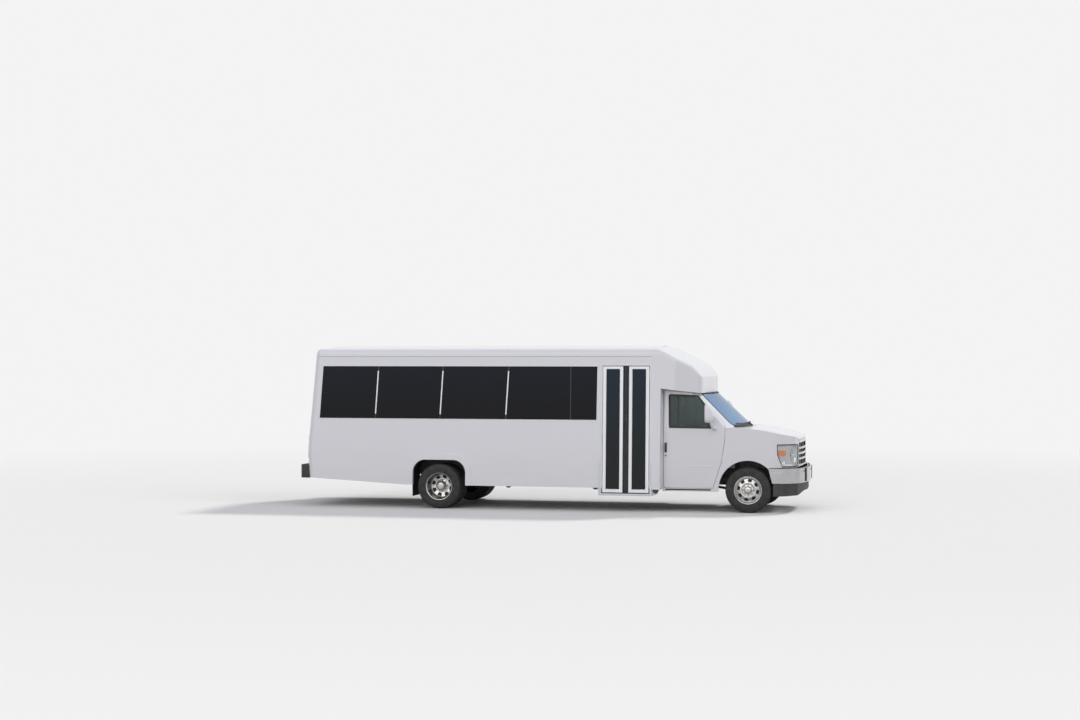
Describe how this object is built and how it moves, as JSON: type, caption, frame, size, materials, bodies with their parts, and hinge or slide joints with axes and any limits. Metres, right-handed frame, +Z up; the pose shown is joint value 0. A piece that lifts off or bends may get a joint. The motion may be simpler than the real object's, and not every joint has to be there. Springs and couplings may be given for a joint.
{
  "type": "minibus",
  "caption": "Cutaway minibus with a boxy white passenger body, dark side windows, a two-leaf entry door, dual rear wheels, steered front wheels and a hinged bonnet.",
  "frame": {"origin": "on the ground, under the middle of the whole bus", "axes": "+X forward, +Y to the bus's left, +Z up"},
  "size_m": [8.5098, 2.66, 2.715],
  "materials": {
    "chassis_black": "satin black chassis paint",
    "cast_metal": "rough cast",
    "tank_plastic": "moulded black",
    "exhaust_steel": "dull aluminised steel",
    "floor_covering": "ribbed dark grey floor rubber",
    "white_paint": "gloss white",
    "white_plastic": "gloss white",
    "dark_glass": "dark tinted",
    "clear_glass": "light green tint",
    "door_aluminium": "pale anodised",
    "chrome_trim": "polished",
    "lamp_lens": "clear lens",
    "dark_plastic": "grained dark grey",
    "flap_rubber": "matt black",
    "seat_cloth": "woven grey",
    "red_lens": "red lens",
    "rail_steel": "brushed",
    "tyre": "black rubber"
  },
  "bodies": {
    "root": {"frame": "chassis_black", "front_axle": "chassis_black", "rear_axle": "chassis_black", "powertrain": "cast_metal", "fuel_tank": "tank_plastic", "exhaust": "exhaust_steel", "floor": "floor_covering", "roof": "white_paint", "left_wall": "white_paint", "right_wall": "white_paint", "rear_wall": "white_paint", "front_cap": "white_paint", "side_windows": "dark_glass", "windscreen": "clear_glass", "entry_step": "white_paint", "cab_shell": "white_paint", "front_wings": "white_paint", "grille": "chrome_trim", "headlamps": "lamp_lens", "front_bumper": "chrome_trim", "valance": "dark_plastic", "rear_bumper": "chassis_black", "wheel_wells": "dark_plastic", "mud_flaps": "flap_rubber", "seats": "seat_cloth", "dashboard": "dark_plastic", "tail_lamps": "red_lens", "grab_rails": "rail_steel"},
    "knuckle_left": {"knuckle_left": "cast_metal"},
    "knuckle_right": {"knuckle_right": "cast_metal"},
    "front_wheel_left": {"front_tyre_left": "tyre", "front_rim_left": "chrome_trim"},
    "front_wheel_right": {"front_tyre_right": "tyre", "front_rim_right": "chrome_trim"},
    "rear_wheels_left": {"rear_tyres_left": "tyre", "rear_rims_left": "chrome_trim"},
    "rear_wheels_right": {"rear_tyres_right": "tyre", "rear_rims_right": "chrome_trim"},
    "cab_door_left_body": {"cab_door_left": "white_paint", "cab_door_glass_left": "clear_glass", "mirror_left": "white_plastic"},
    "cab_door_right_body": {"cab_door_right": "white_paint", "cab_door_glass_right": "clear_glass", "mirror_right": "white_plastic"},
    "entry_front_body": {"entry_leaf_front": "door_aluminium", "entry_glazing_front": "dark_glass"},
    "entry_rear_body": {"entry_leaf_rear": "door_aluminium", "entry_glazing_rear": "dark_glass"},
    "bonnet_body": {"bonnet": "white_paint"},
    "rear_door_body": {"rear_door": "white_paint", "rear_door_glass": "dark_glass"}
  },
  "joints": [
    {"name": "steer_left", "type": "hinge", "parent": "root", "child": "knuckle_left", "pos_m": [3.343, 0.8, 0.372], "axis": [0, 0, 1], "range_deg": [-35, 35]},
    {"name": "steer_right", "type": "hinge", "parent": "root", "child": "knuckle_right", "pos_m": [3.343, -0.8, 0.372], "axis": [0, 0, 1], "range_deg": [-35, 35]},
    {"name": "front_spin_left", "type": "hinge", "parent": "knuckle_left", "child": "front_wheel_left", "pos_m": [3.343, 0.88, 0.372], "axis": [0, 1, 0], "continuous": true},
    {"name": "front_spin_right", "type": "hinge", "parent": "knuckle_right", "child": "front_wheel_right", "pos_m": [3.343, -0.88, 0.372], "axis": [0, 1, 0], "continuous": true},
    {"name": "rear_spin_left", "type": "hinge", "parent": "root", "child": "rear_wheels_left", "pos_m": [-1.787, 0.983, 0.372], "axis": [0, 1, 0], "continuous": true},
    {"name": "rear_spin_right", "type": "hinge", "parent": "root", "child": "rear_wheels_right", "pos_m": [-1.787, -0.983, 0.372], "axis": [0, 1, 0], "continuous": true},
    {"name": "cab_door_left_hinge", "type": "hinge", "parent": "root", "child": "cab_door_left_body", "pos_m": [2.988, 1.004, 0.9], "axis": [0, 0, -1], "range_deg": [0, 65]},
    {"name": "cab_door_right_hinge", "type": "hinge", "parent": "root", "child": "cab_door_right_body", "pos_m": [2.988, -1.004, 0.9], "axis": [0, 0, 1], "range_deg": [0, 65]},
    {"name": "entry_front_hinge", "type": "hinge", "parent": "root", "child": "entry_front_body", "pos_m": [1.759, -1.22799, 0.38833], "axis": [0, 0.0418, 0.9991], "range_deg": [0, 88]},
    {"name": "entry_rear_hinge", "type": "hinge", "parent": "root", "child": "entry_rear_body", "pos_m": [0.987, -1.22799, 0.38833], "axis": [0, -0.0418, -0.9991], "range_deg": [0, 88]},
    {"name": "bonnet_hinge", "type": "hinge", "parent": "root", "child": "bonnet_body", "pos_m": [3.172, 0, 1.384], "axis": [0, -1, 0], "range_deg": [0, 50]},
    {"name": "rear_door_hinge", "type": "hinge", "parent": "root", "child": "rear_door_body", "pos_m": [-4.088, -0.375, 1.50065], "axis": [0.0815, 0, 0.9967], "range_deg": [0, 100]}
  ],
  "couplings": [
    {"joint": "steer_right", "follows": "steer_left", "ratio": 1},
    {"joint": "entry_rear_hinge", "follows": "entry_front_hinge", "ratio": 1}
  ]
}
